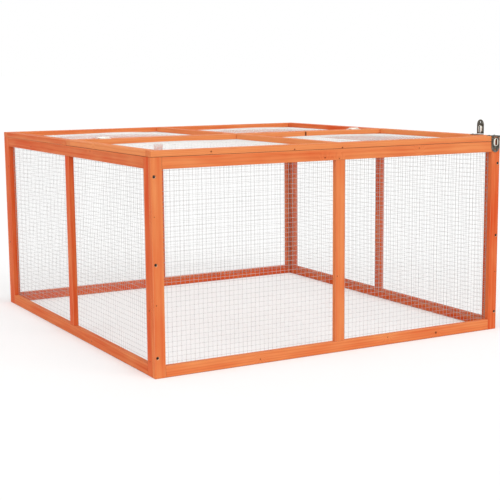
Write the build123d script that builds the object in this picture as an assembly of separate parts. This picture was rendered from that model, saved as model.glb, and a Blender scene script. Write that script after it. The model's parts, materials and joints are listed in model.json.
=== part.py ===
from build123d import *
import os

# Open-bottomed outdoor rabbit cage with a fixed back roof half and a hinged front lid.
# Millimetres. X runs along the front wall to the right, Y to the back, Z up.
# The origin is on the ground, at the centre of the four walls.

# Overall sizes
WIDTH = 1105.0          # along the front wall
DEPTH = 1156.0          # front face to back face
WALL_HEIGHT = 553.0     # top of the wall frames
BATTEN_WIDE = 30.0      # face of every batten
BATTEN_THICK = 15.0     # thickness of every batten
EDGE_EASE = 0.8         # small bevel on the battens' long edges

# Running gaps between bodies
LID_SEAT_GAP = 0.5      # lid frame above the walls
LID_JOINT_GAP = 1.0     # lid's rear rail to the fixed half's middle rail
RUNNING_FIT = 0.08      # radial play of each hinge pin
FACE_GAP = 0.3          # hanging flap to the wood behind it

# Netting: one sheet per frame, on the inner side
NET_THICK = 1.0
NET_BAR = 4.0           # strip left between two openings
NET_LAP = 12.0          # how far the sheet lies over the inner edge of each batten
NET_CORNER = 2.0        # sheet edge to the next wall's battens

# Corner screws through the front and back stiles
LEFT_SCREW_HEIGHTS = (53.0, 288.0, 506.0)     # in both left stiles
RIGHT_SCREW_HEIGHTS = (53.0, 280.0, 490.0)    # in both right stiles
CORNER_SCREW_R = 2.0
CORNER_SCREW_HEAD_R = 3.6
CORNER_SCREW_HEAD_DEEP = 2.4
CORNER_SCREW_LONG = 35.0

# Small screws of the hinges and hasps
SMALL_SCREW_R = 1.4
SMALL_SCREW_HEAD_R = 2.9
SMALL_SCREW_HEAD_HIGH = 1.3
SMALL_SCREW_LONG = 11.0
SCREW_PLAY = 0.05

# Lid hinges, screwed on top across the joint of the two roof halves
HINGE_X = 438.0
HINGE_LONG = 34.0
HINGE_LEAF_WIDE = 20.0
HINGE_LEAF_THICK = 1.2
HINGE_BARREL_R = 2.5
HINGE_PIN_R = 1.3
HINGE_BARREL_LIFT = 0.4
KNUCKLE_GAP = 0.4
TONGUE_REACH = 3.6      # leaf edge to the barrel's axis

# Hasps, both of one size
HASP_WIDE = 30.0
HASP_BASE_DEEP = 24.0
HASP_THICK = 1.2
HASP_BARREL_R = 2.5
HASP_PIN_R = 1.2
HASP_FLAP_LONG = 45.3   # barrel axis to the rounded tip
HASP_TONGUE_WIDE = 13.0
HASP_SLOT_WIDE = 7.0
HASP_SLOT_NEAR = 6.0    # from the barrel's axis
HASP_SLOT_FAR = 26.0
HASP_BOSS_WIDE = 20.0
HASP_BOSS_NEAR = 3.8
HASP_BOSS_FAR = 29.0
HASP_BOSS_HIGH = 2.6
HASP_HOLE_R = 2.2
HASP_HOLE_AT = 37.5
FRONT_HASP_X = 535.0
SIDE_HASP_Y = -486.0

# Wire staple for the side hasp
STAPLE_WIRE_R = 1.3
STAPLE_LOW_Z = 543.8
STAPLE_HIGH_Z = 550.4
STAPLE_OUT = 9.5        # wall face to the bend's centre line
STAPLE_DEEP = 11.0

half_w = WIDTH / 2
half_d = DEPTH / 2
lid_bottom = WALL_HEIGHT + LID_SEAT_GAP
lid_top = lid_bottom + BATTEN_THICK
back_roof_top = WALL_HEIGHT + BATTEN_THICK
screw_line = BATTEN_THICK / 2

os.makedirs("parts", exist_ok=True)


def save(name, shape):
    shape.label = name
    export_step(shape, f"parts/{name}.step")


def box(x0, x1, y0, y1, z0, z1):
    return Pos((x0 + x1) / 2, (y0 + y1) / 2, (z0 + z1) / 2) * Box(x1 - x0, y1 - y0, z1 - z0)


def batten(x0, x1, y0, y1, z0, z1):
    # A planed batten: its four long edges are eased.
    solid = box(x0, x1, y0, y1, z0, z1)
    spans = {Axis.X: x1 - x0, Axis.Y: y1 - y0, Axis.Z: z1 - z0}
    along = max(spans, key=spans.get)
    return chamfer(solid.edges().filter_by(along), EDGE_EASE)


def rod(start, direction, radius, length):
    place = Plane(origin=start, z_dir=direction)
    return place * Cylinder(radius, length, align=(Align.CENTER, Align.CENTER, Align.MIN))


# ---------------------------------------------------------------- walls
# The front and back walls run the full width and cover the ends of the side walls.
side_y = half_d - BATTEN_THICK
inner_z = (BATTEN_WIDE, WALL_HEIGHT - BATTEN_WIDE)
stile_spots = {"left": (-half_w, -half_w + BATTEN_WIDE), "right": (half_w - BATTEN_WIDE, half_w)}
half_batten = BATTEN_WIDE / 2

corner_holes = []
corner_screws = []
for face_y, into in ((-half_d, 1), (half_d, -1)):
    for sx, heights in (
            (-half_w + screw_line, LEFT_SCREW_HEIGHTS), (half_w - screw_line, RIGHT_SCREW_HEIGHTS)):
        for z in heights:
            start = (sx, face_y, z)
            inward = (0, into, 0)
            hole = rod(start, inward, CORNER_SCREW_R + SCREW_PLAY, CORNER_SCREW_LONG + 0.5)
            seat_at = (sx, face_y + into * CORNER_SCREW_HEAD_DEEP / 2, z)
            seat = Plane(origin=seat_at, z_dir=inward) * Cone(
                CORNER_SCREW_HEAD_R + SCREW_PLAY, CORNER_SCREW_R + SCREW_PLAY, CORNER_SCREW_HEAD_DEEP)
            corner_holes.append(hole + seat)
            shank = rod(start, inward, CORNER_SCREW_R, CORNER_SCREW_LONG)
            head = Plane(origin=seat_at, z_dir=inward) * Cone(
                CORNER_SCREW_HEAD_R, CORNER_SCREW_R, CORNER_SCREW_HEAD_DEEP)
            screw = head + shank
            # A straight driving slot in the head
            slot = Pos(sx, face_y + into * 0.4, z) * Box(2 * CORNER_SCREW_HEAD_R, 0.8, 0.9)
            corner_screws.append(screw - slot)

cuts = {}


def holes_near(low, high):
    # The screw holes whose axes pass through the batten between two corners.
    found = []
    for hole in corner_holes:
        c = hole.bounding_box()
        if (c.min.X < high[0] and c.max.X > low[0] and c.min.Y < high[1] and c.max.Y > low[1]
                and c.min.Z < high[2] and c.max.Z > low[2]):
            found.append(hole)
    return found


def wall_piece(name, x0, x1, y0, y1, z0, z1):
    solid = batten(x0, x1, y0, y1, z0, z1)
    for hole in holes_near((x0, y0, z0), (x1, y1, z1)):
        solid = solid - hole
    cuts[name] = solid


for wall, y0 in (("front", -half_d), ("back", half_d - BATTEN_THICK)):
    y1 = y0 + BATTEN_THICK
    for side, (x0, x1) in stile_spots.items():
        wall_piece(f"{wall}_stile_{side}", x0, x1, y0, y1, 0, WALL_HEIGHT)
    rail_x = half_w - BATTEN_WIDE
    wall_piece(f"{wall}_rail_top", -rail_x, rail_x, y0, y1, inner_z[1], WALL_HEIGHT)
    wall_piece(f"{wall}_rail_bottom", -rail_x, rail_x, y0, y1, 0, inner_z[0])
    wall_piece(f"{wall}_stile_middle", -half_batten, half_batten, y0, y1, *inner_z)

for wall, x0 in (("left", -half_w), ("right", half_w - BATTEN_THICK)):
    x1 = x0 + BATTEN_THICK
    wall_piece(f"{wall}_stile_front", x0, x1, -side_y, -side_y + BATTEN_WIDE, 0, WALL_HEIGHT)
    wall_piece(f"{wall}_stile_rear", x0, x1, side_y - BATTEN_WIDE, side_y, 0, WALL_HEIGHT)
    rail_y = side_y - BATTEN_WIDE
    wall_piece(f"{wall}_rail_top", x0, x1, -rail_y, rail_y, inner_z[1], WALL_HEIGHT)
    wall_piece(f"{wall}_rail_bottom", x0, x1, -rail_y, rail_y, 0, inner_z[0])
    wall_piece(f"{wall}_stile_middle", x0, x1, -half_batten, half_batten, *inner_z)

# ---------------------------------------------------------------- roof halves
# Each half is a flat frame: the rails along X are full width, the side rails fit between them.
joint = LID_JOINT_GAP / 2


def roof_half(prefix, y0, y1, z0, names):
    z1 = z0 + BATTEN_THICK
    inner0, inner1 = y0 + BATTEN_WIDE, y1 - BATTEN_WIDE
    cuts[f"{prefix}_{names[0]}"] = batten(-half_w, half_w, y0, inner0, z0, z1)
    cuts[f"{prefix}_{names[1]}"] = batten(-half_w, half_w, inner1, y1, z0, z1)
    cuts[f"{prefix}_rail_left"] = batten(-half_w, -half_w + BATTEN_WIDE, inner0, inner1, z0, z1)
    cuts[f"{prefix}_rail_right"] = batten(half_w - BATTEN_WIDE, half_w, inner0, inner1, z0, z1)
    cuts[f"{prefix}_crossbar"] = batten(-half_batten, half_batten, inner0, inner1, z0, z1)


roof_half("lid", -half_d, -joint, lid_bottom, ("rail_front", "rail_rear"))
roof_half("roof", joint, half_d, WALL_HEIGHT, ("rail_middle", "rail_rear"))

# ---------------------------------------------------------------- netting


def net(wide, high, across, up):
    # A flat sheet in the XY plane, centred, with a grid of square-cornered openings.
    open_w = (wide - NET_BAR * (across + 1)) / across
    open_h = (high - NET_BAR * (up + 1)) / up
    sheet = Rectangle(wide, high)
    grid = GridLocations(open_w + NET_BAR, open_h + NET_BAR, across, up)
    return extrude(sheet - grid * Rectangle(open_w, open_h), NET_THICK)


net_low = BATTEN_WIDE - NET_LAP
net_high = WALL_HEIGHT - BATTEN_WIDE + NET_LAP
net_mid_z = (net_low + net_high) / 2
front_net_w = 2 * (half_w - BATTEN_THICK - NET_CORNER)
side_net_w = 2 * (side_y - NET_THICK - NET_CORNER)
net_h = net_high - net_low
inner_y = half_d - BATTEN_THICK
inner_x = half_w - BATTEN_THICK
standing = Rot(90, 0, 0)            # sheet faces the front
turned = Rot(0, 0, 90) * Rot(90, 0, 0)   # sheet faces the side
cuts["net_front"] = Pos(0, -inner_y + NET_THICK, net_mid_z) * standing * net(front_net_w, net_h, 24, 12)
cuts["net_back"] = Pos(0, inner_y, net_mid_z) * standing * net(front_net_w, net_h, 24, 12)
cuts["net_left"] = Pos(-inner_x, 0, net_mid_z) * turned * net(side_net_w, net_h, 24, 12)
cuts["net_right"] = Pos(inner_x - NET_THICK, 0, net_mid_z) * turned * net(side_net_w, net_h, 24, 12)
roof_net_w = 2 * (inner_x - NET_THICK - NET_CORNER)
roof_y = (BATTEN_WIDE - NET_LAP, inner_y - NET_THICK - NET_CORNER)
roof_net_d = roof_y[1] - roof_y[0]
roof_mid = (roof_y[0] + roof_y[1]) / 2
cuts["net_roof"] = Pos(0, roof_mid, WALL_HEIGHT - NET_THICK) * net(roof_net_w, roof_net_d, 24, 12)
cuts["net_lid"] = Pos(0, -roof_mid, lid_bottom - NET_THICK) * net(roof_net_w, roof_net_d, 24, 12)

# ---------------------------------------------------------------- lid hinges
hinge_z = lid_top + HINGE_BARREL_LIFT + HINGE_BARREL_R
knuckle = (HINGE_LONG - 2 * KNUCKLE_GAP) / 3


def knuckle_spans(count_is_outer):
    a = HINGE_LONG / 2
    if count_is_outer:
        return ((-a, -a + knuckle), (a - knuckle, a))
    return ((-knuckle / 2, knuckle / 2),)


def hinge_leaf(cx, side, plate_z, outer):
    # side is -1 for the lid leaf, in front of the joint, and 1 for the fixed leaf.
    near, far = side * TONGUE_REACH, side * (TONGUE_REACH + HINGE_LEAF_WIDE - 4)
    lo, hi = sorted((near, far))
    leaf = box(cx - HINGE_LONG / 2, cx + HINGE_LONG / 2, lo, hi, plate_z, plate_z + HINGE_LEAF_THICK)
    corners = leaf.edges().filter_by(Axis.Z).group_by(Axis.Y)[0 if side < 0 else -1]
    leaf = fillet(corners, 2.0)
    bore = rod((cx - HINGE_LONG, 0, hinge_z), (1, 0, 0), HINGE_PIN_R + RUNNING_FIT, 2 * HINGE_LONG)
    for x0, x1 in knuckle_spans(outer):
        lo, hi = sorted((side * 0.6, near + side))
        leaf += box(cx + x0, cx + x1, lo, hi, plate_z, plate_z + HINGE_LEAF_THICK)
        leaf += rod((cx + x0, 0, hinge_z), (1, 0, 0), HINGE_BARREL_R, x1 - x0)
    return leaf - bore


hinge_screw_spots = [(-10.5, 13.0), (0.0, 8.5), (10.5, 13.0)]
hinge_screws = {"lid": [], "roof": []}


def small_screw(x, y, seat_z):
    # Pan-head screw going straight down, its head resting on a leaf at seat_z.
    shank = rod((x, y, seat_z), (0, 0, -1), SMALL_SCREW_R, SMALL_SCREW_LONG)
    head = rod((x, y, seat_z), (0, 0, 1), SMALL_SCREW_HEAD_R, SMALL_SCREW_HEAD_HIGH)
    head = fillet(head.edges().group_by(Axis.Z)[-1], 0.8)
    slot = Pos(x, y, seat_z + SMALL_SCREW_HEAD_HIGH - 0.25) * Box(2 * SMALL_SCREW_HEAD_R, 0.8, 0.5)
    return head + shank - slot


def small_hole(x, y, seat_z):
    return rod((x, y, seat_z + 1), (0, 0, -1), SMALL_SCREW_R + SCREW_PLAY, SMALL_SCREW_LONG + 1.5)


for label, cx in (("left", -HINGE_X), ("right", HINGE_X)):
    lid_leaf = hinge_leaf(cx, -1, lid_top, False)
    roof_leaf = hinge_leaf(cx, 1, back_roof_top, True)
    for dx, dy in hinge_screw_spots:
        x = cx + dx
        lid_seat = lid_top + HINGE_LEAF_THICK
        roof_seat = back_roof_top + HINGE_LEAF_THICK
        lid_hole, roof_hole = small_hole(x, -dy, lid_seat), small_hole(x, dy, roof_seat)
        lid_leaf -= lid_hole
        roof_leaf -= roof_hole
        cuts["lid_rail_rear"] = cuts["lid_rail_rear"] - lid_hole
        cuts["roof_rail_middle"] = cuts["roof_rail_middle"] - roof_hole
        hinge_screws["lid"].append(small_screw(x, -dy, lid_seat))
        hinge_screws["roof"].append(small_screw(x, dy, roof_seat))
    pin = rod((cx - HINGE_LONG / 2 - 0.6, 0, hinge_z), (1, 0, 0), HINGE_PIN_R, HINGE_LONG + 1.2)
    for end in (-1, 1):
        at = cx + end * (HINGE_LONG / 2)
        pin += rod((at, 0, hinge_z), (end, 0, 0), HINGE_PIN_R + 0.6, 0.6)
    cuts[f"hinge_{label}_leaf_lid"] = lid_leaf
    cuts[f"hinge_{label}_leaf_roof"] = roof_leaf
    cuts[f"hinge_{label}_pin"] = pin

# ---------------------------------------------------------------- hasps
# Drawn at the origin: the wood's outer face is the plane y 0, its top the plane z 0,
# and outward is towards -Y.
barrel_y = -(FACE_GAP + HASP_BARREL_R)
barrel_z = HASP_THICK - HASP_BARREL_R
tongue = HASP_TONGUE_WIDE / 2
half_h = HASP_WIDE / 2
hasp_bore = rod((-HASP_WIDE, barrel_y, barrel_z), (1, 0, 0), HASP_PIN_R + RUNNING_FIT, 2 * HASP_WIDE)
hasp_screw_spots = [(-9.5, 16.0), (9.5, 16.0), (0.0, 8.0)]


def hasp_base():
    plate = box(-half_h, half_h, 0.8, HASP_BASE_DEEP, 0, HASP_THICK)
    plate = fillet(plate.edges().filter_by(Axis.Z).group_by(Axis.Y)[-1], 4.0)
    for x0, x1 in ((-half_h, -tongue - KNUCKLE_GAP), (tongue + KNUCKLE_GAP, half_h)):
        plate += box(x0, x1, barrel_y, 1.8, 0, HASP_THICK)
        plate += rod((x0, barrel_y, barrel_z), (1, 0, 0), HASP_BARREL_R, x1 - x0)
    return plate - hasp_bore


def oval(wide, near, far):
    # A round-ended slot outline standing on the flap's centre line.
    long = far - near
    return Pos(0, -(near + far) / 2) * Rot(0, 0, 90) * SlotOverall(long, wide)


def hasp_flap():
    # Flat outline in XY with y down the flap from the barrel axis, then stood up.
    start = -TONGUE_REACH
    body_long = HASP_FLAP_LONG - half_h - TONGUE_REACH
    plate = Pos(0, start - body_long / 2) * Rectangle(HASP_WIDE, body_long)
    plate += Pos(0, -(HASP_FLAP_LONG - half_h)) * Circle(half_h)
    plate += Pos(0, start / 2 - 0.3) * Rectangle(HASP_TONGUE_WIDE, -start + 0.6)
    outline = oval(HASP_SLOT_WIDE, HASP_SLOT_NEAR, HASP_SLOT_FAR)
    flat = extrude(plate, HASP_THICK)
    boss = extrude(oval(HASP_BOSS_WIDE, HASP_BOSS_NEAR, HASP_BOSS_FAR), HASP_THICK + HASP_BOSS_HIGH, taper=35)
    flat = flat + boss
    flat -= extrude(outline, 10)
    flat -= Pos(0, -HASP_HOLE_AT, 0) * Cylinder(HASP_HOLE_R, 10)
    # Stand it up: the sheet's underside faces the wood.
    up = Pos(0, -FACE_GAP, barrel_z) * Rot(90, 0, 0) * flat
    up += rod((-tongue, barrel_y, barrel_z), (1, 0, 0), HASP_BARREL_R, 2 * tongue)
    return up - hasp_bore


def hasp_pin():
    pin = rod((-half_h - 0.6, barrel_y, barrel_z), (1, 0, 0), HASP_PIN_R, HASP_WIDE + 1.2)
    for end in (-1, 1):
        pin += rod((end * half_h, barrel_y, barrel_z), (end, 0, 0), HASP_PIN_R + 0.6, 0.6)
    return pin


raised = Pos(0, barrel_y, barrel_z) * Rot(180, 0, 0) * Pos(0, -barrel_y, -barrel_z)
front_place = Pos(FRONT_HASP_X, -half_d, lid_top)
side_place = Pos(half_w, SIDE_HASP_Y, lid_top) * Rot(0, 0, 90)
hasp_screws = []
# The front base is screwed to the lid's front rail, the side one to its right rail.
for label, place, flap_turn, rails in (
        ("front", front_place, Pos(0, 0, 0), ("lid_rail_front",)),
        ("side", side_place, raised, ("lid_rail_right",))):
    base = hasp_base()
    for x, y in hasp_screw_spots:
        hole = small_hole(x, y, HASP_THICK)
        base -= hole
        for rail in rails:
            cuts[rail] = cuts[rail] - place * hole
        hasp_screws.append(place * small_screw(x, y, HASP_THICK))
    cuts[f"hasp_{label}_base"] = place * base
    cuts[f"hasp_{label}_pin"] = place * hasp_pin()
    cuts[f"hasp_{label}_flap"] = place * flap_turn * hasp_flap()

# ---------------------------------------------------------------- staple in the right wall
leg_in = half_w - STAPLE_DEEP
bend_r = (STAPLE_HIGH_Z - STAPLE_LOW_Z) / 2
bend_x = half_w + STAPLE_OUT - bend_r
leg = bend_x - leg_in
staple = Pos(0, 0, 0) * rod((leg_in, SIDE_HASP_Y, STAPLE_LOW_Z), (1, 0, 0), STAPLE_WIRE_R, leg)
staple += rod((leg_in, SIDE_HASP_Y, STAPLE_HIGH_Z), (1, 0, 0), STAPLE_WIRE_R, leg)
ring = Torus(bend_r, STAPLE_WIRE_R)
mid_z = (STAPLE_LOW_Z + STAPLE_HIGH_Z) / 2
bend = Pos(bend_x, SIDE_HASP_Y, mid_z) * Rot(90, 0, 0) * ring
keep = box(bend_x, bend_x + 20, SIDE_HASP_Y - 10, SIDE_HASP_Y + 10, mid_z - 20, mid_z + 20)
staple += bend & keep
for z in (STAPLE_LOW_Z, STAPLE_HIGH_Z):
    pilot = rod((leg_in - 0.5, SIDE_HASP_Y, z), (1, 0, 0), STAPLE_WIRE_R + SCREW_PLAY, STAPLE_DEEP + 5)
    cuts["right_rail_top"] = cuts["right_rail_top"] - pilot
cuts["hasp_side_staple"] = staple

# ---------------------------------------------------------------- fasteners, one group each
cuts["screws_corner"] = Compound(corner_screws)
cuts["screws_hinge_lid"] = Compound(hinge_screws["lid"])
cuts["screws_hinge_roof"] = Compound(hinge_screws["roof"])
cuts["screws_hasp"] = Compound(hasp_screws)

for name, shape in cuts.items():
    save(name, shape)
print(len(cuts), "nodes")
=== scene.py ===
# %% [markdown]
# # An outdoor rabbit cage in stained fir and galvanised netting
# The cage is an open-bottomed run: four walls of planed battens, a fixed back roof half and a
# front half that opens as a lid. Each opening is closed with welded wire netting.
# The construction model gives every size and place. This file adds what the eye sees: wood with
# grain, knots and eased edges, real netting of thin wires, and zinc-plated fittings.
# The model is loaded first.

# %% Load the construction model
import json
import math
import random

import bmesh
import bpy
import numpy as np
from mathutils import Matrix, Vector


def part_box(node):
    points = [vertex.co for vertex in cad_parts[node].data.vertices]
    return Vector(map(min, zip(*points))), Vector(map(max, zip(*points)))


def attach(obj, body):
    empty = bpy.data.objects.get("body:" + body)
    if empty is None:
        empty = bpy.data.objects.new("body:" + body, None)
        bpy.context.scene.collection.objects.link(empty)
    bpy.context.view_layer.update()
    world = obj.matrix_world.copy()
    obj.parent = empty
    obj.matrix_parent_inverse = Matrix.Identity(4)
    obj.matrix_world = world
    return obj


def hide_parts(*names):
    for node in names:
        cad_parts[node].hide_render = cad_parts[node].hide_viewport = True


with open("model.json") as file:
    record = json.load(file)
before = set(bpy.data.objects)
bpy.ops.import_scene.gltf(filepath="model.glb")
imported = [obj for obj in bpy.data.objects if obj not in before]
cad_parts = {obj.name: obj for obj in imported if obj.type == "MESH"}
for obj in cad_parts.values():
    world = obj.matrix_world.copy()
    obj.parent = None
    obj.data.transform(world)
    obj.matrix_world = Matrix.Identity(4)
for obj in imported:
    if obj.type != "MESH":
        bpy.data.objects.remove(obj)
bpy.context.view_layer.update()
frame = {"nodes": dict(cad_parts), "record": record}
MM = 0.001
body_of_node = {n: b for b, names in frame["record"]["behaviour"]["bodies"].items() for n in names}

# %% [markdown]
# ## The camera
# The photograph was taken from the front left, a little above the roof, with a long lens. The
# camera's place and turn were worked out from the corners and edges of the cage in the picture,
# so they are written here as numbers: a heading, a tilt and a slight roll.

# %% Camera
HEADING, TILT, ROLL = 0.5121, 0.1532, -0.0083     # radians
CAMERA_AT = Vector((-1.70936, -3.12353, 0.75475))
FOCAL_LENGTH, PICTURE, SENSOR = 1149.86, 500, 36  # in pixels, in pixels, and in mm
forward = Vector((math.sin(HEADING) * math.cos(TILT), math.cos(HEADING) * math.cos(TILT), -math.sin(TILT)))
level = Vector((math.cos(HEADING), -math.sin(HEADING), 0))
upright = level.cross(forward)
right = level * math.cos(ROLL) + upright * math.sin(ROLL)
up = upright * math.cos(ROLL) - level * math.sin(ROLL)

camera = bpy.data.objects.new("camera", bpy.data.cameras.new("camera"))
camera.data.sensor_width = SENSOR
camera.data.lens = FOCAL_LENGTH * SENSOR / PICTURE
camera.matrix_world = Matrix.Translation(CAMERA_AT) @ Matrix((right, up, -forward)).transposed().to_4x4()
bpy.context.scene.collection.objects.link(camera)
bpy.context.scene.camera = camera
print("lens", round(camera.data.lens, 2), "mm")

# %% [markdown]
# ## Two small helpers for materials
# Colours are easier to judge as the hex values that a paint program shows, but Blender mixes light
# in linear values, so one function turns the first into the second.
# A material is a net of nodes. One function adds a node, sets its options and fills its inputs,
# either with a plain value or with another node's output.

# %% Colour and node helpers
def colour(hex_value):
    """An sRGB hex colour as linear RGBA."""
    parts = [int(hex_value[i:i + 2], 16) / 255 for i in (1, 3, 5)]
    return [c / 12.92 if c <= 0.04045 else ((c + 0.055) / 1.055) ** 2.4 for c in parts] + [1.0]


def node(tree, kind, inputs=None, **options):
    """Adds a node; inputs maps a socket's name or number to a value or to another node's output."""
    made = tree.nodes.new(kind)
    for option, value in options.items():
        setattr(made, option, value)
    for socket, value in (inputs or {}).items():
        if isinstance(value, bpy.types.NodeSocket):
            tree.links.new(value, made.inputs[socket])
        else:
            made.inputs[socket].default_value = value
    return made


def new_material(name):
    """An empty material and its tree."""
    made = bpy.data.materials.new(name)
    made.use_nodes = True
    made.node_tree.nodes.clear()
    return made, made.node_tree


print("white is", colour("#FFFFFF"))

# %% [markdown]
# ## Stained fir
# The battens are planed fir with a thin orange stain that lets the grain through. Fir grows in
# rings of about 3 mm, pale in spring and dense in summer, and a batten is a straight cut through
# them. So the pattern is built as in the tree: distance from the tree's middle gives the rings,
# a slow drift makes them wander, and knots push them aside.
# Each batten carries four things on its mesh for this: its own coordinates along, across and
# through the wood, where in the tree it was cut, its tone, which is partly painted shade, with its
# half length and how much painted shade darkens it, and where its nearest knot is.

# %% Stained fir, planed and glazed: satin, faint grain along the length, darker sawn ends
RING = 3.2 * MM            # one year's growth
HALF_WIDE, HALF_THICK = 15 * MM, 7.5 * MM
PALE_STAIN, RED_STAIN = "#E98F55", "#D64C1C"
SUMMER_WOOD, SPRING_GLINT = "#B8491C", "#EC9A66"
KNOT_HEART, KNOT_RIM = "#35120A", "#A0431A"
END_GRAIN, WORN_EDGE, RAW_WOOD = "#CC6A38", "#F0A478", "#F8DCBA"
# The colour of the painted shade that darkens the wood where another surface is near
PAINTED_SHADE_COLOUR = "#4A1A0A"
KNOT_PUSH, KNOT_REACH = 7 * MM, 22 * MM     # how far, and from how far, a knot pushes the rings
PAINTED_SHADE_REACH = 7 * MM

stained_fir, fir = new_material("stained_fir")


def math_node(operation, *values, **options):
    """A sum, product or other operation on single numbers in the wood's tree."""
    return node(fir, "ShaderNodeMath", dict(enumerate(values)), operation=operation, **options).outputs[0]


place = node(fir, "ShaderNodeAttribute", attribute_name="place").outputs["Vector"]
cut_from = node(fir, "ShaderNodeAttribute", attribute_name="cut_from").outputs["Vector"]
look = node(fir, "ShaderNodeAttribute", attribute_name="look").outputs["Vector"]
knot = node(fir, "ShaderNodeAttribute", attribute_name="knot").outputs["Vector"]
tone, half_long, painted_dimming = node(fir, "ShaderNodeSeparateXYZ", {0: look}).outputs
in_tree = node(fir, "ShaderNodeVectorMath", {0: place, 1: cut_from}, operation="ADD").outputs[0]


def fir_noise(along, across, detail):
    """Noise stretched along the wood; along and across are how many waves it has to a metre."""
    stretched = node(fir, "ShaderNodeVectorMath", {0: in_tree, 1: (along, across, across)},
                     operation="MULTIPLY").outputs[0]
    return node(fir, "ShaderNodeTexNoise", {"Vector": stretched, "Scale": 1.0, "Detail": detail})


drift = node(fir, "ShaderNodeVectorMath", {0: fir_noise(1.8, 22, 2).outputs["Color"], 1: (0.5, 0.5, 0.5)},
             operation="SUBTRACT").outputs[0]
wandered = node(fir, "ShaderNodeVectorMath", {0: drift, 1: (0, 9 * MM, 9 * MM), 2: in_tree},
                operation="MULTIPLY_ADD").outputs[0]
flat = node(fir, "ShaderNodeVectorMath", {0: wandered, 1: (0, 1, 1)}, operation="MULTIPLY").outputs[0]
from_pith = node(fir, "ShaderNodeVectorMath", {0: flat}, operation="LENGTH").outputs["Value"]
knot_along, knot_across, knot_size = node(fir, "ShaderNodeSeparateXYZ", {0: knot}).outputs
from_knot = math_node("SQRT", math_node("ADD", math_node("MULTIPLY", knot_along, knot_along),
                                        math_node("MULTIPLY", knot_across, knot_across)))
bulge = node(fir, "ShaderNodeMapRange", {"Value": from_knot, "From Min": 0, "From Max": KNOT_REACH,
             "To Min": KNOT_PUSH, "To Max": 0}, interpolation_type="SMOOTHSTEP").outputs[0]
year = math_node("FRACT", math_node("DIVIDE", math_node("ADD", from_pith, bulge), RING))
rise = node(fir, "ShaderNodeMapRange", {"Value": year, "From Min": 0.35, "From Max": 0.9},
            interpolation_type="SMOOTHSTEP").outputs[0]
fall = node(fir, "ShaderNodeMapRange", {"Value": year, "From Min": 0.92, "From Max": 1.0, "To Min": 1,
            "To Max": 0}, interpolation_type="SMOOTHSTEP").outputs[0]
summer = math_node("MULTIPLY", rise, fall)
streaks = fir_noise(1.4, 110, 2).outputs["Fac"]     # bands 9 mm wide and most of a metre long
fibres = fir_noise(12, 900, 3).outputs["Fac"]       # about 1 mm; real ones are finer
patches = fir_noise(7, 26, 2).outputs["Fac"]        # where the stain took more or less
print("ring nodes so far:", len(fir.nodes))

# %% [markdown]
# The colour goes on in the order in which it came on the real wood: the stain, uneven from patch
# to patch, then the summer wood that shows through it, then knots, sawn ends and rubbed edges.

# %% The wood's colour, shine and relief
def fir_mix(amount, below, above):
    """One colour over another in the wood's tree."""
    made = node(fir, "ShaderNodeMix", {0: amount, 6: below, 7: above}, data_type="RGBA")
    return made.outputs[2]


uneven = math_node("ADD", math_node("MULTIPLY", math_node("SUBTRACT", patches, 0.5), 1.1),
                   math_node("MULTIPLY", math_node("SUBTRACT", streaks, 0.5), 1.0))
# The tone adds painted shade to the stain: walls and battens away from the light are made redder
stain = math_node("ADD", tone, uneven, use_clamp=True)
body_colour = fir_mix(stain, colour(PALE_STAIN), colour(RED_STAIN))
body_colour = fir_mix(math_node("MULTIPLY", summer, 0.22), body_colour, colour(SUMMER_WOOD))
glint = node(fir, "ShaderNodeMapRange", {"Value": fibres, "From Min": 0.5, "From Max": 0.75, "To Max": 0.3})
body_colour = fir_mix(glint.outputs[0], body_colour, colour(SPRING_GLINT))

knot_reach = math_node("DIVIDE", from_knot, knot_size)
rim = node(fir, "ShaderNodeMapRange", {"Value": knot_reach, "From Min": 1.0, "From Max": 2.1, "To Min": 0.75,
           "To Max": 0}, interpolation_type="SMOOTHSTEP").outputs[0]
heart = node(fir, "ShaderNodeMapRange", {"Value": knot_reach, "From Min": 0.75, "From Max": 1.05,
             "To Min": 0.92, "To Max": 0}, interpolation_type="SMOOTHSTEP").outputs[0]
body_colour = fir_mix(heart, fir_mix(rim, body_colour, colour(KNOT_RIM)), colour(KNOT_HEART))

along, across, through = node(fir, "ShaderNodeSeparateXYZ", {0: place}).outputs
to_end = math_node("SUBTRACT", half_long, math_node("ABSOLUTE", along))
end_face = node(fir, "ShaderNodeMapRange", {"Value": to_end, "From Min": 0.2 * MM, "From Max": 0.6 * MM,
                "To Min": 0.35, "To Max": 0}).outputs[0]
body_colour = fir_mix(end_face, body_colour, fir_mix(summer, colour(END_GRAIN), colour(SUMMER_WOOD)))
to_side = math_node("SUBTRACT", HALF_WIDE, math_node("ABSOLUTE", across))
to_face = math_node("SUBTRACT", HALF_THICK, math_node("ABSOLUTE", through))
to_edge = math_node("MAXIMUM", to_side, to_face)
rubbed = node(fir, "ShaderNodeMapRange", {"Value": to_edge, "From Min": 0.6 * MM, "From Max": 1.8 * MM,
              "To Min": 1, "To Max": 0}).outputs[0]
rubbed = math_node("MULTIPLY", rubbed, node(fir, "ShaderNodeMapRange", {
    "Value": patches, "From Min": 0.4, "From Max": 0.65, "To Max": 0.5}).outputs[0])
body_colour = fir_mix(rubbed, body_colour, colour(WORN_EDGE))

# Painted shade: the photograph has dark joints, so the wood is darkened where another surface is near, as
# shade falls in joints, grooves and screw seats
corner = node(fir, "ShaderNodeAmbientOcclusion", {"Distance": PAINTED_SHADE_REACH}, samples=8).outputs["AO"]
painted_shade = node(fir, "ShaderNodeMapRange", {"Value": corner, "From Min": 0.12, "From Max": 0.62, "To Min": 0.9,
             "To Max": 0}).outputs[0]
body_colour = fir_mix(painted_shade, body_colour, colour(PAINTED_SHADE_COLOUR))
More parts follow.
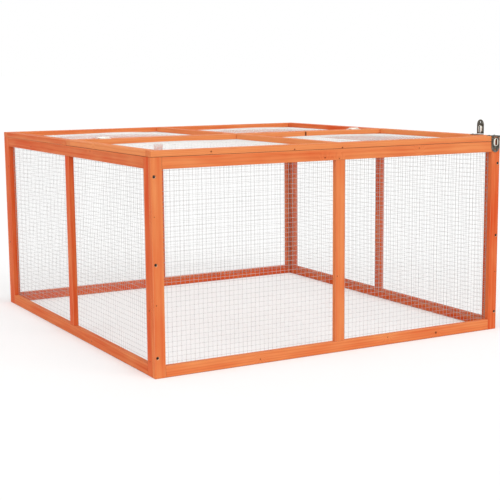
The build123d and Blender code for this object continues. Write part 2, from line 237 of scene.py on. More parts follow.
# What lies deeper than the stain, such as a screw's seat, is raw wood
below_face = math_node("MINIMUM", math_node("MINIMUM", to_side, to_face), to_end)
raw = node(fir, "ShaderNodeMapRange", {"Value": below_face, "From Min": 0.5 * MM,
           "From Max": 0.7 * MM}).outputs[0]
body_colour = fir_mix(raw, body_colour, fir_mix(fibres, colour(RAW_WOOD), colour(SPRING_GLINT)))
# Painted shade: each batten is darkened by its own share
body_colour = fir_mix(painted_dimming, body_colour, (0, 0, 0, 1))

relief = math_node("ADD", math_node("MULTIPLY", summer, 0.5), fibres)
bump = node(fir, "ShaderNodeBump", {"Strength": 0.35, "Distance": 0.25 * MM, "Height": relief})
shine = node(fir, "ShaderNodeMapRange", {"Value": streaks, "From Min": 0.3, "From Max": 0.7, "To Min": 0.55,
             "To Max": 0.7})
surface = node(fir, "ShaderNodeBsdfPrincipled", {
    "Base Color": body_colour, "Roughness": shine.outputs[0], "Normal": bump.outputs[0],
    "Specular IOR Level": 0.12})
node(fir, "ShaderNodeOutputMaterial", {0: surface.outputs[0]})
print("stained fir has", len(fir.nodes), "nodes")

# %% [markdown]
# ## The battens
# Every batten is one length of 30 x 15 mm fir with its long edges eased by a pass of a plane. A
# box with a wide soft bevel would look like plastic, so the long edges get a small round one and
# the sawn ends almost none. Where a corner screw goes in, a countersink is cut.
# The tone of each wall follows the photograph: the left wall is redder than the front. The redder
# tones are partly the stain and partly painted shade on the walls that lie away from the light.
# Knots are where the photograph shows them, and elsewhere they are spread by a seeded draw.

# %% Where the knots and marks are
# For each batten, in millimetres: its place along the wood, in X or Y, its place across the wood,
# which is the height in a wall and X or Y in a roof, and its size. A stile has its X first and
# then its height.
SEEN_KNOTS = {
    "front_rail_top": [(-49, 531, 1.5), (-4, 527, 1.1), (261, 544.5, 1.2)],
    "lid_rail_rear": [(235, -30, 2.2)],
    "front_rail_bottom": [(160, 21, 1.2), (330, 14, 2.4), (-250, 12, 1.2)],
    "front_stile_left": [(-546, 407, 0.8), (-545, 186, 1.1)],
    "front_stile_right": [(545, 172, 1.2)],
    "front_stile_middle": [(-9, 210, 1.0)],
    "lid_rail_left": [(-207, -538, 1.4)],
    "left_rail_top": [(-182, 547, 1.2), (310, 533, 1.5)],
}
# Marks on a roof batten's narrow side: place along X, and height.
SEEN_MARKS = {"lid_rail_front": [(-387, 561, 1.6), (-143, 556.5, 1.5), (6, 555.5, 1.6)]}
# How red a wall or batten is, from 0, the pale stain, to 1, the red one; the redder ones are
# partly painted shade, for walls and battens that lie away from the light
WALL_TONES_AND_SHADE = {"front": 0.27, "left": 0.85, "lid": 0.05, "roof": 0.35, "back": 0.75, "right": 0.8}
BATTEN_TONES_AND_SHADE = {
    "front_stile_left": 0.38, "front_stile_right": 0.72, "left_rail_bottom": 0.55, "left_rail_top": 0.6,
    "lid_rail_left": -0.05, "roof_rail_left": 0.5, "roof_rail_rear": 0.3, "roof_rail_right": 0.6,
}
# Painted shade: how much darker than its stain, as a share, for battens that lie in shade
PAINTED_DIMMING = {"left_rail_top": 0.05, "left_rail_bottom": 0.05, "roof_rail_left": 0.06, "right": 0.1}
battens = [n for n in frame["nodes"] if any(w in n for w in ("_stile_", "_rail_", "_crossbar"))]
print("battens:", len(battens))

# %% [markdown]
# The corner screws are taken to be countersunk. Such a screw sits in a cone that a drill or its
# own head makes in the wood. Here a cone is cut out with a boolean, which needs closed shapes. The
# photograph has pale wood at the lower right of a screw, so the cone is wider than the screw's
# head and lies off its middle.

# %% The corner screws' seats
SCREW_HEIGHTS = {"left": (53, 288, 506), "right": (53, 280, 490)}
SCREW_LINE = 7.5 * MM                                            # from the stile's outer side
SEAT_WIDE, SEAT_NARROW, SEAT_DEEP = 5.47 * MM, 2.2 * MM, 3.1 * MM
SEAT_START = 0.5 * MM                                            # how far before the wood it starts
SEAT_SHIFT = Vector((0.93, 0, -0.87)) * MM


def cone(bm, at, axis, wide, narrow, deep, sides=24):
    """A cone from at, where it is wide, going deep along axis."""
    turn = Vector((0, 0, -1)).rotation_difference(axis).to_matrix().to_4x4()
    bmesh.ops.create_cone(bm, cap_ends=True, segments=sides, radius1=narrow, radius2=wide, depth=deep,
                          matrix=Matrix.Translation(at + axis * deep / 2) @ turn)


def countersinks(name):
    """The corner screws' seats in a batten, as one cutting body, or None."""
    if name.split("_")[0] not in ("front", "back") or name.split("_")[-1] not in ("left", "right"):
        return None
    low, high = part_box(name)
    front = name.startswith("front")
    x = low.x + SCREW_LINE if name.endswith("left") else high.x - SCREW_LINE
    into = Vector((0, 1 if front else -1, 0))
    bm = bmesh.new()
    for z in SCREW_HEIGHTS[name.split("_")[-1]]:
        face = Vector((x, low.y if front else high.y, z * MM))
        cone(bm, face - into * SEAT_START + SEAT_SHIFT, into, SEAT_WIDE, SEAT_NARROW, SEAT_DEEP)
    made = bpy.data.meshes.new("cutter")
    bm.to_mesh(made)
    return bpy.data.objects.new("cutter", made)


def cut_away(piece, cutter):
    """The piece's mesh with the cutter's shape taken out."""
    bpy.context.scene.collection.objects.link(cutter)
    piece.modifiers.new("seats", "BOOLEAN").object = cutter
    piece.modifiers["seats"].operation = "DIFFERENCE"
    bpy.context.view_layer.update()
    cut = bpy.data.meshes.new_from_object(piece.evaluated_get(bpy.context.evaluated_depsgraph_get()))
    piece.modifiers.clear()
    piece.data = cut
    bpy.data.objects.remove(cutter)


print("screws in a corner stile:", len(SCREW_HEIGHTS["left"]))

# %% [markdown]
# A knot is where a branch grew. The seen ones come from the list above, and a batten without one
# gets none, one or two from a seeded draw, so that the wood comes out the same each time.

# %% Knots, and what a batten's mesh tells the material
NO_KNOT = (9.0, 9.0, 1 * MM, 1)                                  # 9 m away, so it never shows
draw = random.Random(7)


def knots_of(name, low, high, axes):
    """The batten's knots as (along, other, size, which axis the other is), in order along it."""
    middle = (low + high) / 2
    found = []
    for a, b, size in SEEN_KNOTS.get(name, []):
        spot = Vector(middle)
        spot[axes[0] if axes[0] < 2 else 0] = a * MM
        spot[2 if axes[2] < 2 else 1 - axes[0]] = b * MM
        found.append((spot[axes[0]] - middle[axes[0]], spot[axes[1]] - middle[axes[1]], size * MM, 1))
    for a, b, size in SEEN_MARKS.get(name, []):
        found.append((a * MM - middle.x, b * MM - middle.z, size * MM, 2))
    half = (high - low)[axes[0]] / 2
    if not found:
        for _ in range(draw.choice((0, 1, 1, 2))):
            found.append((draw.uniform(-0.9, 0.9) * half, draw.uniform(-11, 11) * MM,
                          draw.uniform(0.8, 2.2) * MM, 1))
    return sorted(found) or [NO_KNOT]


def mark_wood(mesh, name, middle, size, axes, knots):
    """Writes the wood's own coordinates, its place in the tree, its tone and its knots on the mesh."""
    co = np.array([v.co - middle for v in mesh.vertices])[:, axes]
    places = mesh.attributes.new("place", "FLOAT_VECTOR", "POINT").data
    places.foreach_set("vector", co.ravel().astype(np.float32))
    heart = draw.uniform(0, 2 * math.pi)
    away = draw.uniform(25, 90) * MM
    tree = (draw.uniform(0, 40), away * math.cos(heart), away * math.sin(heart))
    tone = BATTEN_TONES_AND_SHADE.get(name, WALL_TONES_AND_SHADE[name.split("_")[0]]) + draw.uniform(-0.07, 0.07)
    dimming = PAINTED_DIMMING.get(name, PAINTED_DIMMING.get(name.split("_")[0], 0))
    for label, value in (("cut_from", tree), ("look", (tone, size[axes[0]] / 2, dimming))):
        data = mesh.attributes.new(label, "FLOAT_VECTOR", "POINT").data
        data.foreach_set("vector", np.tile(np.array(value, np.float32), len(mesh.vertices)))
    spots = np.zeros((len(mesh.loops), 3), np.float32)
    for face in mesh.polygons:
        mid = (face.center - middle)[axes[0]]
        near = min(knots, key=lambda k: abs(k[0] - mid))
        for i in face.loop_indices:
            p = co[mesh.loops[i].vertex_index]
            spots[i] = (p[0] - near[0], p[near[3]] - near[1], near[2])
    mesh.attributes.new("knot", "FLOAT_VECTOR", "CORNER").data.foreach_set("vector", spots.ravel())


print("batten with most seen knots:", max(SEEN_KNOTS, key=lambda n: len(SEEN_KNOTS[n])))

# %% [markdown]
# A batten starts as a box. The long edges get a round of 1.3 mm and the ends one of 0.4 mm. Its
# faces are split half-way between neighbouring knots, so that each corner can carry its place
# seen from its own knot. The screws' seats are cut last.

# %% One batten
LONG_EDGE, SAWN_EDGE = 1.3 * MM, 0.4 * MM


def batten(name):
    """One batten as a mesh in its node's place, with the wood's coordinates on it."""
    low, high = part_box(name)
    size, middle = high - low, (low + high) / 2
    axes = sorted(range(3), key=lambda i: -size[i])     # along, across, through
    bm = bmesh.new()
    bmesh.ops.create_cube(bm, size=1, matrix=Matrix.Translation(middle) @ Matrix.Diagonal((*size, 1)))
    long_edges = [e for e in bm.edges if abs((e.verts[0].co - e.verts[1].co)[axes[0]]) > size[axes[0]] / 2]
    bmesh.ops.bevel(bm, geom=long_edges, offset=LONG_EDGE, segments=4, profile=0.5, affect="EDGES")
    end = size[axes[0]] / 2 - 1e-5
    end_edges = [e for e in bm.edges if all(abs((v.co - middle)[axes[0]]) > end for v in e.verts)]
    bmesh.ops.bevel(bm, geom=end_edges, offset=SAWN_EDGE, segments=2, profile=0.5, affect="EDGES")
    knots = knots_of(name, low, high, axes)
    for near, far in zip(knots, knots[1:]):
        at = Vector(middle)
        at[axes[0]] += (near[0] + far[0]) / 2
        lengthwise = Vector((0, 0, 0))
        lengthwise[axes[0]] = 1
        everything = bm.verts[:] + bm.edges[:] + bm.faces[:]
        bmesh.ops.bisect_plane(bm, geom=everything, plane_co=at, plane_no=lengthwise)
    mesh = bpy.data.meshes.new("wood_" + name)
    bm.to_mesh(mesh)
    piece = bpy.data.objects.new("wood_" + name, mesh)
    bpy.context.scene.collection.objects.link(piece)
    cutter = countersinks(name)
    if cutter:
        cut_away(piece, cutter)
    mark_wood(piece.data, name, middle, size, axes, knots)
    piece.data.shade_smooth()
    piece.data.set_sharp_from_angle(angle=math.radians(40))
    piece.modifiers.new("even shading", "WEIGHTED_NORMAL").keep_sharp = True
    return piece


print("edges eased by", LONG_EDGE * 1000, "mm and", SAWN_EDGE * 1000, "mm")

# %% [markdown]
# Each batten stands in for its node of the construction model and rides on that node's body, so
# that the lid's battens move with the lid.

# %% All the battens
for name in battens:
    piece = batten(name)
    piece.data.materials.clear()
    piece.data.materials.append(stained_fir)
    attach(piece, body_of_node[name])
    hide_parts(name)
print("battens made:", len(battens))

# %% [markdown]
# ## The netting
# Welded netting of 12.7 mm squares: straight wires of about 0.7 mm laid across each other, welded
# where they cross, then dipped in zinc, which leaves a small blob at each weld. An image of a grid
# would look flat from near, so each wire is a thin tube and each weld a small bead.
# Netting comes from a roll and never lies flat. In the roof it stands up in a low dome in each
# opening, which the photograph shows, and in the walls it ripples a little.

# %% Galvanised wire: dull bright zinc, a little cloudy from the dip
WIRE, PITCH = 0.68 * MM, 12.7 * MM


def galvanised(name, cloudy, clear):
    """Dipped wire between two greys, in clouds of 17 mm with 1 mm runs."""
    made, dip = new_material(name)
    seen = node(dip, "ShaderNodeTexCoord").outputs["Object"]
    clouds = node(dip, "ShaderNodeTexNoise", {"Vector": seen, "Scale": 60.0, "Detail": 2.0}).outputs["Fac"]
    grey = node(dip, "ShaderNodeMix", {0: clouds, 6: colour(cloudy), 7: colour(clear)}, data_type="RGBA")
    dull = node(dip, "ShaderNodeMapRange", {"Value": clouds, "To Min": 0.55, "To Max": 0.35})
    drips = node(dip, "ShaderNodeTexNoise", {"Vector": seen, "Scale": 900.0, "Detail": 1.0})
    bumps = node(dip, "ShaderNodeBump", {"Strength": 0.3, "Distance": 0.1 * MM,
                 "Height": drips.outputs["Fac"]})
    face = node(dip, "ShaderNodeBsdfPrincipled", {
        "Base Color": grey.outputs[2], "Metallic": 0.9, "Roughness": dull.outputs[0],
        "Normal": bumps.outputs[0]})
    node(dip, "ShaderNodeOutputMaterial", {0: face.outputs[0]})
    return made


wall_wire = galvanised("galvanised_wire", "#A6A6A4", "#D2D2D0")
# The same wire, paler. In the photograph the roof's sheets look almost white and the walls' grey,
# most likely because of the light and the flat angle. Two finishes stand in for that here.
roof_wire = galvanised("galvanised_wire_pale", "#E2E1DE", "#F8F7F5")
print("wire is", WIRE * 1000, "mm")

# %% [markdown]
# The netting lies flat where a batten backs it and bends only in its free openings. In each of
# them it swells a little fuller than half a sine wave both ways, with small seeded waves on top.
# A formula is enough for that, since the netting is stiff.

# %% How the netting bends
# The free openings between the battens, in metres
SPANS_X = ((-0.5225, -0.015), (0.015, 0.5225))
SPANS_Y = ((-0.533, -0.015), (0.015, 0.533))
SPANS_Z = ((0.030, 0.523),)
RIPPLE = 2.5 * MM        # the small waves' height, before their own factors of 0.3 and 0.2
SHEETS = {          # the plane's two directions, the spans along each, and the bulge's height in mm
    "net_front": ((0, 2), SPANS_X, SPANS_Z, 2.0),
    "net_back": ((0, 2), SPANS_X, SPANS_Z, -2.5),
    "net_left": ((1, 2), SPANS_Y, SPANS_Z, 2.5),
    "net_right": ((1, 2), SPANS_Y, SPANS_Z, -2.0),
    "net_roof": ((0, 1), SPANS_X, ((0.0305, 0.548),), 12.0),
    "net_lid": ((0, 1), SPANS_X, ((-0.548, -0.0305),), 12.0),
}


def along_spans(value, spans):
    """For each span: which values are inside it, and how far along it they are, from 0 to 1."""
    for a, b in spans:
        t = (value - a) / (b - a)
        inside = (t > 0) & (t < 1)
        yield inside, np.where(inside, np.clip(t, 0, 1), 0)


def bulge_at(u, v, spans_u, spans_v, high, seed):
    """How far the sheet stands off its flat place at (u, v)."""
    wave = np.random.default_rng(seed)
    out = np.zeros_like(u)
    for in_u, tu in along_spans(u, spans_u):
        for in_v, tv in along_spans(v, spans_v):
            free = in_u & in_v
            swell = np.sin(np.pi * tu) * np.sin(np.pi * tv)
            a, b, c, d = wave.uniform(0, 6.28, 4)
            ripple = (0.30 * np.sin(9 * tu + a) * np.sin(5 * tv + b)
                      + 0.2 * np.sin(17 * tv + c) * np.sin(6 * tu + d))
            soft = np.minimum(1, 6 * np.minimum(np.minimum(tu, 1 - tu), np.minimum(tv, 1 - tv)))
            out = out + np.where(free, swell ** 0.8 + ripple * soft * RIPPLE / abs(high), 0)
    return out * high


print("sheets:", len(SHEETS))

# %% [markdown]
# A wire is a path of points with a six-sided tube round it, smooth enough at this thickness, and a
# weld is a bead with eight faces. A sheet has over a hundred wires and thousands of welds, so their
# corners and faces are worked out as lists of numbers and handed over as one mesh.

# %% Tubes and beads
SIDES = 6
ASIDE = (0.31, 0.29, 0.9)                # a direction in which no wire runs


def wire_mesh(paths, radius):
    """Tubes round many paths of points, all in one list of corners and faces."""
    corners, faces, start = [], [], 0
    turn = np.linspace(0, 2 * np.pi, SIDES, endpoint=False)
    for path in paths:
        ahead = np.gradient(path, axis=0)
        ahead /= np.linalg.norm(ahead, axis=1)[:, None]
        side = np.cross(ahead, ASIDE)
        side /= np.linalg.norm(side, axis=1)[:, None]
        top = np.cross(ahead, side)
        spokes = (np.cos(turn)[None, :, None] * side[:, None]
                  + np.sin(turn)[None, :, None] * top[:, None])
        ring = path[:, None] + radius * spokes
        corners.append(ring.reshape(-1, 3))
        n = len(path)
        i = np.arange(n - 1)[:, None] * SIDES
        k = np.arange(SIDES)[None, :]
        nxt = (k + 1) % SIDES
        quads = np.stack([i + k, i + nxt, i + SIDES + nxt, i + SIDES + k], -1).reshape(-1, 4) + start
        faces.extend(quads.tolist())
        faces.append(list(range(start + SIDES - 1, start - 1, -1)))
        faces.append(list(range(start + (n - 1) * SIDES, start + n * SIDES)))
        start += n * SIDES
    return np.concatenate(corners), faces


def beads(centres, radius):
    """A small bead with eight faces at each centre."""
    tips = np.array([(1, 0, 0), (-1, 0, 0), (0, 1, 0), (0, -1, 0), (0, 0, 1), (0, 0, -1)]) * radius
    sides = np.array([(0, 2, 4), (2, 1, 4), (1, 3, 4), (3, 0, 4), (2, 0, 5), (1, 2, 5), (3, 1, 5), (0, 3, 5)])
    corners = (centres[:, None] + tips[None]).reshape(-1, 3)
    faces = (sides[None] + 6 * np.arange(len(centres))[:, None, None]).reshape(-1, 3)
    return corners, faces.tolist()


def mesh_piece(name, corners, faces, material):
    """A smooth mesh object from corners and faces."""
    mesh = bpy.data.meshes.new(name)
    mesh.from_pydata(corners.tolist(), [], faces)
    mesh.materials.append(material)
    mesh.shade_smooth()
    piece = bpy.data.objects.new(name, mesh)
    bpy.context.scene.collection.objects.link(piece)
    return piece


print("corners round a wire:", SIDES)

# %% [markdown]
# In a sheet, the wires of one direction lie to one side of its middle and the others to the other
# side, by less than a wire's radius, so that they sink into each other at the welds.

# %% Weaving one sheet
LIFT, WELD = 0.22 * MM, 0.62 * MM        # a wire's distance from the middle, and a weld's radius
PULL, UNEVEN = 1.6 * MM, 0.12 * MM       # how far the sheet and its wires stray from the grid
WAVE_SEEDS = 50                          # the seeds of the small waves start here


def netting(name, seed):
    """One sheet of netting in its node's place."""
    (iu, iv), spans_u, spans_v, high = SHEETS[name]
    low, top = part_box(name)
    iw = 3 - iu - iv
    mid_w = (low[iw] + top[iw]) / 2
    rows = {}
    for i in (iu, iv):
        count = int((top[i] - low[i]) / PITCH)
        first = (low[i] + top[i]) / 2 - count * PITCH / 2
        rows[i] = first + PITCH * np.arange(count + 1)
    wave = np.random.default_rng(seed)
    skew = wave.uniform(-1, 1, 4)

    def spot(u, v, lift):
        """A point of the sheet, pulled slightly out of square as a stretched net is."""
        su, sv = (u - low[iu]) / (top[iu] - low[iu]), (v - low[iv]) / (top[iv] - low[iv])
        inner = np.sin(np.pi * np.clip(su, 0, 1)) * np.sin(np.pi * np.clip(sv, 0, 1))
        p = np.zeros(u.shape + (3,))
        p[..., iu] = u + PULL * inner * (skew[0] * np.sin(5 * sv) + 0.6 * skew[1] * np.sin(9 * su + 3 * sv))
        p[..., iv] = v + PULL * inner * (skew[2] * np.sin(4 * su) + 0.6 * skew[3] * np.sin(8 * sv + 4 * su))
        p[..., iw] = mid_w + lift + bulge_at(u, v, spans_u, spans_v, high * MM, WAVE_SEEDS + seed)
        return p

    paths = []
    vs = np.concatenate([[low[iv]], rows[iv], [top[iv]]])
    us = np.concatenate([[low[iu]], rows[iu], [top[iu]]])
    for u in rows[iu]:
        paths.append(spot(np.full_like(vs, u + wave.normal(0, UNEVEN)), vs, LIFT))
    for v in rows[iv]:
        paths.append(spot(us, np.full_like(us, v + wave.normal(0, UNEVEN)), -LIFT))
    corners, faces = wire_mesh(paths, WIRE / 2)
    grid_u, grid_v = np.meshgrid(rows[iu], rows[iv])
    bead_corners, bead_faces = beads(spot(grid_u.ravel(), grid_v.ravel(), 0), WELD)
    faces += [[c + len(corners) for c in f] for f in bead_faces]
    print(name, "wires", len(paths), "welds", grid_u.size, "faces", len(faces))
    return mesh_piece("wires_" + name, np.concatenate([corners, bead_corners]), faces,
                      roof_wire if name in ("net_roof", "net_lid") else wall_wire)


print("welds stand out by", round((WELD - WIRE / 2) * 1000, 2), "mm")

# %% [markdown]
# Each sheet's number in the list is the seed of its small faults, so every sheet is different and
# comes out the same each time.

# %% All six sheets
for seed, name in enumerate(SHEETS):
    sheet = netting(name, seed)
    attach(sheet, body_of_node[name])
    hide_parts(name)

# %% [markdown]
# ## Zinc-plated fittings
# The hinges and hasps are stamped steel sheet with a thin zinc plate, and the screws and staple
# are taken to be the same. In the photograph the hinges are nearly white and the hasps dark with
# bright rims, so the hinges get a pale finish that is a painted reflection, and the hasps a grey film
# on the flat of the plate and bare shine on whatever stands up from it, partly wear and partly a
# painted highlight.
# The plate's parts carry two numbers for this: how far each place stands up and is brightened, as
# wear and painted highlight, and how far it lies in a hollow that is painted dark as shade. Plain
# parts have neither, and keep the film only.

# %% Zinc-plated steel, stamped and handled: grey film, bright where it rubs and as a painted highlight, painted dark brown shade in the slot
RUBBED_ZINC_HIGHLIGHT, SLOT_PAINTED_SHADE = "#E9E4D8", "#2E2416"


def plated(name, film_colour, bare_colour, dull, bright):
    """A zinc finish between two colours, in patches of 6 mm, with 0.9 mm scuffs."""
    made, plate = new_material(name)
    where = node(plate, "ShaderNodeTexCoord").outputs["Object"]
    film = node(plate, "ShaderNodeTexNoise", {"Vector": where, "Scale": 160.0, "Detail": 3.0,
                "Roughness": 0.6}).outputs["Fac"]
    filmed = node(plate, "ShaderNodeMapRange", {"Value": film, "From Min": 0.38, "From Max": 0.62})
    shown = node(plate, "ShaderNodeMix", {0: filmed.outputs[0], 6: colour(film_colour),
                 7: colour(bare_colour)}, data_type="RGBA").outputs[2]
    rub_highlight_and_shade = node(plate, "ShaderNodeAttribute", attribute_name="rub_highlight_and_shade").outputs["Vector"]
    rubbed, hollow_shade, _ = node(plate, "ShaderNodeSeparateXYZ", {0: rub_highlight_and_shade}).outputs
    # Raised places are brightened, partly as rubbed bare zinc and partly as painted highlight; hollows and
    # the slot get a dark brown painted shade
    for amount, over in ((rubbed, RUBBED_ZINC_HIGHLIGHT), (hollow_shade, SLOT_PAINTED_SHADE)):
        shown = node(plate, "ShaderNodeMix", {0: amount, 6: shown, 7: colour(over)},
                     data_type="RGBA").outputs[2]
    softened = node(plate, "ShaderNodeBevel", {"Radius": 0.35 * MM}, samples=4)
    scuffs = node(plate, "ShaderNodeTexNoise", {"Vector": where, "Scale": 1100.0, "Detail": 2.0})
    scuff_bump = node(plate, "ShaderNodeBump", {"Strength": 0.25, "Distance": 0.1 * MM,
                      "Height": scuffs.outputs["Fac"], "Normal": softened.outputs[0]})
    dullness = node(plate, "ShaderNodeMapRange", {"Value": film, "To Min": dull, "To Max": bright})
    face = node(plate, "ShaderNodeBsdfPrincipled", {
        "Base Color": shown, "Metallic": 1.0, "Roughness": dullness.outputs[0],
        "Normal": scuff_bump.outputs[0]})
    node(plate, "ShaderNodeOutputMaterial", {0: face.outputs[0]})
    return made


zinc_plate = plated("zinc_plate", "#47453E", "#7F7D75", 0.55, 0.3)
# Wood screws, as dark as the photograph shows them; which coating they have isn't known
dark_zinc = plated("dark_zinc", "#26221E", "#4C4741", 0.6, 0.4)
# The lid's hinges: the photograph shows them only as small, nearly white patches, so their pale finish is a
# painted reflection of the white surroundings
zinc_painted_reflection = plated("zinc_painted_reflection", "#D9D5CB", "#F4F1EA", 0.6, 0.4)
fittings = [n for n in frame["nodes"] if n.startswith(("hinge_", "hasp_", "screws_"))]
for name in fittings:
    frame["nodes"][name].data.materials.clear()
    finish = zinc_plate
    if name.startswith(("hinge_", "screws_hinge")):
        finish = zinc_painted_reflection
    elif name == "screws_corner":
        finish = dark_zinc
    frame["nodes"][name].data.materials.append(finish)
print("fittings:", len(fittings))

# %% [markdown]
# ## The hasps' flaps
# A hasp's flap is pressed from 1.2 mm sheet: a round-ended plate, a slot with a raised rolled rim
# that stiffens it, a small padlock hole, and a tongue rolled round the pin. The construction model
# has the rim as a plain step. Here the plate is laid out as nested rings, from its back round its
# edge, over the rim, down the slot and back under, so that the rim is smooth. The slot is as deep
# as the rim is high, which is why it looks dark from the side. The tongue is a strip rolled round
# the pin.

# %% Rings of one flap: across the plate, down from the pin, and out from the back, in mm
STEEL = 1.2                                      # the sheet's thickness
HALF_PLATE, PLATE_TOP, TIP_CENTRE, SOFT_CORNER = 15, 3.6, 30.3, 1.2
RIM_OVAL, SLOT_OVAL = (19.4, 4.5, 28.6), (6.0, 6.4, 25.8)        # width, and nearest and farthest end
# The rim: how far from its foot to the slot, and how high there
RIM = ((0, 1.2), (0.1, 1.45), (0.25, 2.3), (0.4, 3.2), (0.52, 3.65), (0.64, 3.75), (0.78, 3.7),
       (0.9, 3.5), (1, 3.2))
HALF_TURN = [math.pi * i / 20 for i in range(20)]


def oval_ring(wide, near, far):
    """A round-ended slot outline of 56 points, starting on its right side."""
    r = wide / 2
    points = [(r, near + r + (far - near - wide) * (i / 8)) for i in range(8)]
    points += [(r * math.cos(a), far - r + r * math.sin(a)) for a in HALF_TURN]
    points += [(-r, far - r - (far - near - wide) * (i / 8)) for i in range(8)]
    points += [(-r * math.cos(a), near + r - r * math.sin(a)) for a in HALF_TURN]
    return points


def plate_ring(inset):
    """The plate's outline, straight where it meets the tongue and round at its tip."""
    r, near, soft = HALF_PLATE - inset, PLATE_TOP + inset, SOFT_CORNER
    side = TIP_CENTRE - near - soft
    points = [(r, near + soft + side * (i / 8)) for i in range(8)]
    points += [(r * math.cos(a), TIP_CENTRE + r * math.sin(a)) for a in HALF_TURN]
    points += [(-r, TIP_CENTRE - side * (i / 8)) for i in range(8)]
    corner = [(-r, near + soft), (-r + 0.35 * soft, near + 0.35 * soft)]
    flat = [(-r + soft + (2 * r - 2 * soft) * i / 15, near) for i in range(16)]
    corner_back = [(r - 0.35 * soft, near + 0.35 * soft), (r - 0.1 * soft, near + 0.7 * soft)]
    return points + corner + flat + corner_back


wide_oval, slot_oval = oval_ring(*RIM_OVAL), oval_ring(*SLOT_OVAL)


def rim_ring(t):
    """An outline part of the way from the rim's foot, at 0, to the slot, at 1."""
    return [(a[0] + t * (b[0] - a[0]), a[1] + t * (b[1] - a[1])) for a, b in zip(wide_oval, slot_oval)]


# Each ring has its points, its height, how much it is brightened as wear and painted highlight, and how much
# painted shade it takes
rings = [(plate_ring(0.15), 0, 0, 0), (plate_ring(0), 0.15, 0, 0), (plate_ring(0), STEEL - 0.25, 0, 0.3),
         (plate_ring(0.25), STEEL, 0.25, 0), (plate_ring(0.7), STEEL, 0, 0)]
# The rim is brightened with its height, as wear and painted highlight; its foot and the slot's sides get
# painted shade
for t, high in RIM:
    hollow_shade = 0.6 if t == 0 else max(0, min(1, 4 * (t - 0.75)))
    rings.append((rim_ring(t), high, max(0, min(1, (high - 1.9) / 1.2)), hollow_shade))
rings += [(slot_oval, 2.7, 0, 1), (slot_oval, 0.2, 0, 1), (rim_ring(0.97), 0, 0, 1)]
print("rings in a flap:", len(rings))

# %% [markdown]
# The rings are joined into one closed skin. The tongue's outline goes once round the pin, nearly,
# along the outside and back along the inside, and is given the tongue's width. Last, the padlock
# hole is drilled.

# %% Making a flap
BARREL, BORE = 2.5, 1.32                         # the roll's radius, outside and inside, in mm
HALF_TONGUE, TONGUE_END = 6.5, 4.4
HOLE_AT, HOLE_RADIUS = 37.5, 2.2


def flap_piece(name, at, across, down, out):
    """A flap with its pin at a point, turned so that across, down and out point along three axes."""
    bm = bmesh.new()
    rub_highlight_and_shade = bm.verts.layers.float_vector.new("rub_highlight_and_shade")

    def corner(u, d, h, rubbed=0.0, hollow_shade=0.0):
        made = bm.verts.new(at + (across * u + down * d + out * (h - BARREL)) * MM)
        made[rub_highlight_and_shade] = (rubbed, hollow_shade, 0)
        return made

    loops = [[corner(u, d, h, rubbed, hollow_shade) for u, d in points] for points, h, rubbed, hollow_shade in rings]
    for first, second in zip(loops, loops[1:] + loops[:1]):
        for i in range(len(first)):
            j = (i + 1) % len(first)
            bm.faces.new((first[i], first[j], second[j], second[i]))
    turns = [math.radians(270 - 15 * i) for i in range(21)]
    outer = [(BARREL * math.cos(a), BARREL + BARREL * math.sin(a)) for a in turns]
    inner = [(BORE * math.cos(a), BARREL + BORE * math.sin(a)) for a in reversed(turns)]
    roll = [(TONGUE_END, 0.02)] + outer + inner + [(TONGUE_END, STEEL - 0.02)]
    # The rolled tongue is brightened a little, as wear and painted highlight
    ends = [[corner(u, d, h, 0.35) for d, h in roll] for u in (-HALF_TONGUE, HALF_TONGUE)]
    n = len(roll)
    for i in range(n):
        j = (i + 1) % n
        bm.faces.new((ends[0][i], ends[0][j], ends[1][j], ends[1][i]))
    for end in ends:
        for i in range(n // 2 - 1):
            bm.faces.new((end[i], end[i + 1], end[n - 2 - i], end[n - 1 - i]))
    bmesh.ops.recalc_face_normals(bm, faces=bm.faces[:])
    mesh = bpy.data.meshes.new(name)
    bm.to_mesh(mesh)
    piece = bpy.data.objects.new(name, mesh)
    bpy.context.scene.collection.objects.link(piece)
    bm = bmesh.new()
    start = at + (down * HOLE_AT + out * 3) * MM
    cone(bm, start, -out, HOLE_RADIUS * MM, HOLE_RADIUS * MM, 8 * MM, sides=28)
    drill = bpy.data.meshes.new("drill")
    bm.to_mesh(drill)
    cut_away(piece, bpy.data.objects.new("drill", drill))
    piece.data.materials.clear()
    piece.data.materials.append(zinc_plate)
    piece.data.shade_smooth()
    piece.data.set_sharp_from_angle(angle=math.radians(50))
    print(name, "faces", len(piece.data.polygons))
    return piece


X, Y, Z = Vector((1, 0, 0)), Vector((0, 1, 0)), Vector((0, 0, 1))
front_pin = Vector((0.535, -0.5808, 0.5672))
side_pin = Vector((0.5553, -0.486, 0.5672))
# The front flap hangs down in front of the lid, and the side flap stands up, its face turned in.
FLAPS = (("hasp_front_flap", front_pin, X, -Z, -Y), ("hasp_side_flap", side_pin, Y, Z, -X))
for name, at, across, down, out in FLAPS:
    flap = flap_piece("pressed_" + name, at, across, down, out)
    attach(flap, body_of_node[name])
    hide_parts(name)

# %% [markdown]
# ## Floor, light and background
# The photograph is a plain studio picture: white floor, white background and soft light. Two wide
# suns over a pale world give that, the stronger from the front and the weaker from the left, with
# the same light all over the floor. What the camera sees of the world and the floor is white, and
# the floor still takes the cage's shadow. A light path node tells the rays apart.

# %% World
def seen_rays(tree):
    """1 for rays that show a surface, straight, mirrored or through glass, and 0 for the rest."""
    ray = node(tree, "ShaderNodeLightPath").outputs
    seen = ray["Is Camera Ray"]
    for other in ("Is Glossy Ray", "Is Transmission Ray"):
        seen = node(tree, "ShaderNodeMath", {0: seen, 1: ray[other]}, operation="MAXIMUM").outputs[0]
    return seen


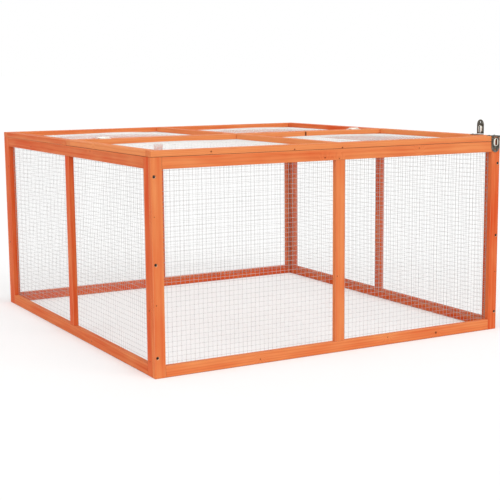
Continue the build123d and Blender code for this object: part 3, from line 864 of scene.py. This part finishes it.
world = bpy.data.worlds.new("pale_studio")
bpy.context.scene.world = world
world.use_nodes = True
sky = world.node_tree
sky.nodes.clear()
SKY_LEVEL = 0.62
level_node = node(sky, "ShaderNodeMapRange", {"Value": seen_rays(sky), "To Min": SKY_LEVEL, "To Max": 1.0})
glow = node(sky, "ShaderNodeBackground", {"Color": colour("#FFFFFF"), "Strength": level_node.outputs[0]})
node(sky, "ShaderNodeOutputWorld", {0: glow.outputs[0]})
print("world level", SKY_LEVEL)

# %% [markdown]
# The suns' heading, height and strength were chosen by comparing renders with the photograph's
# tones on the front, the left side and the roof. What they give a level floor is summed up for
# the next step.

# %% Lamps
def wide_sun(name, strength, spread, heading, height):
    """A soft lamp from a heading, 0 at the front and 90 at the right; gives its light on the floor."""
    lamp = bpy.data.lights.new(name, "SUN")
    lamp.energy = strength
    lamp.angle = math.radians(spread)
    made = bpy.data.objects.new(name, lamp)
    a, e = math.radians(heading), math.radians(height)
    toward = Vector((math.sin(a) * math.cos(e), -math.cos(a) * math.cos(e), math.sin(e)))
    made.rotation_mode = "QUATERNION"
    made.rotation_quaternion = toward.to_track_quat("Z", "Y")
    bpy.context.scene.collection.objects.link(made)
    return toward.z * strength / math.pi


key_light = wide_sun("key", strength=1.25, spread=50, heading=12, height=42)
fill_light = wide_sun("fill", strength=0.92, spread=60, heading=-75, height=30)
FLOOR_WHITE, SEEN_WHITE = 0.8, 1.03
floor_light = FLOOR_WHITE * (SKY_LEVEL + key_light + fill_light)
print("floor light", round(floor_light, 3))

# %% [markdown]
# A white emission on top of the matt face lifts the floor to white where it is fully lit. Where
# the cage takes some of the lamps' light away, the sum is lower, and the shadow shows.

# %% Floor
FLOOR_HALF = 400                                 # metres to each side, so that it meets the horizon
FLOOR_DROP = 0.2 * MM                            # below the cage's underside
floor_finish, paper = new_material("white_studio_floor")
missing = max(0, SEEN_WHITE - floor_light)
lift_level = node(paper, "ShaderNodeMath", {0: seen_rays(paper), 1: missing}, operation="MULTIPLY")
paper_face = node(paper, "ShaderNodeBsdfDiffuse", {"Color": [FLOOR_WHITE] * 3 + [1]})
paper_lift = node(paper, "ShaderNodeEmission", {"Color": colour("#FFFFFF"),
                  "Strength": lift_level.outputs[0]})
paper_both = node(paper, "ShaderNodeAddShader", {0: paper_face.outputs[0], 1: paper_lift.outputs[0]})
node(paper, "ShaderNodeOutputMaterial", {0: paper_both.outputs[0]})
bm = bmesh.new()
bmesh.ops.create_grid(bm, x_segments=1, y_segments=1, size=FLOOR_HALF)
floor_mesh = bpy.data.meshes.new("floor")
bm.to_mesh(floor_mesh)
floor = bpy.data.objects.new("floor", floor_mesh)
floor.location.z = -FLOOR_DROP
floor_mesh.materials.append(floor_finish)
bpy.context.scene.collection.objects.link(floor)
print("light missing to white:", round(missing, 3))

# %% [markdown]
# ## Picture settings
# The plain Standard view keeps each colour as it was written.

# %% View
bpy.context.scene.view_settings.view_transform = "Standard"
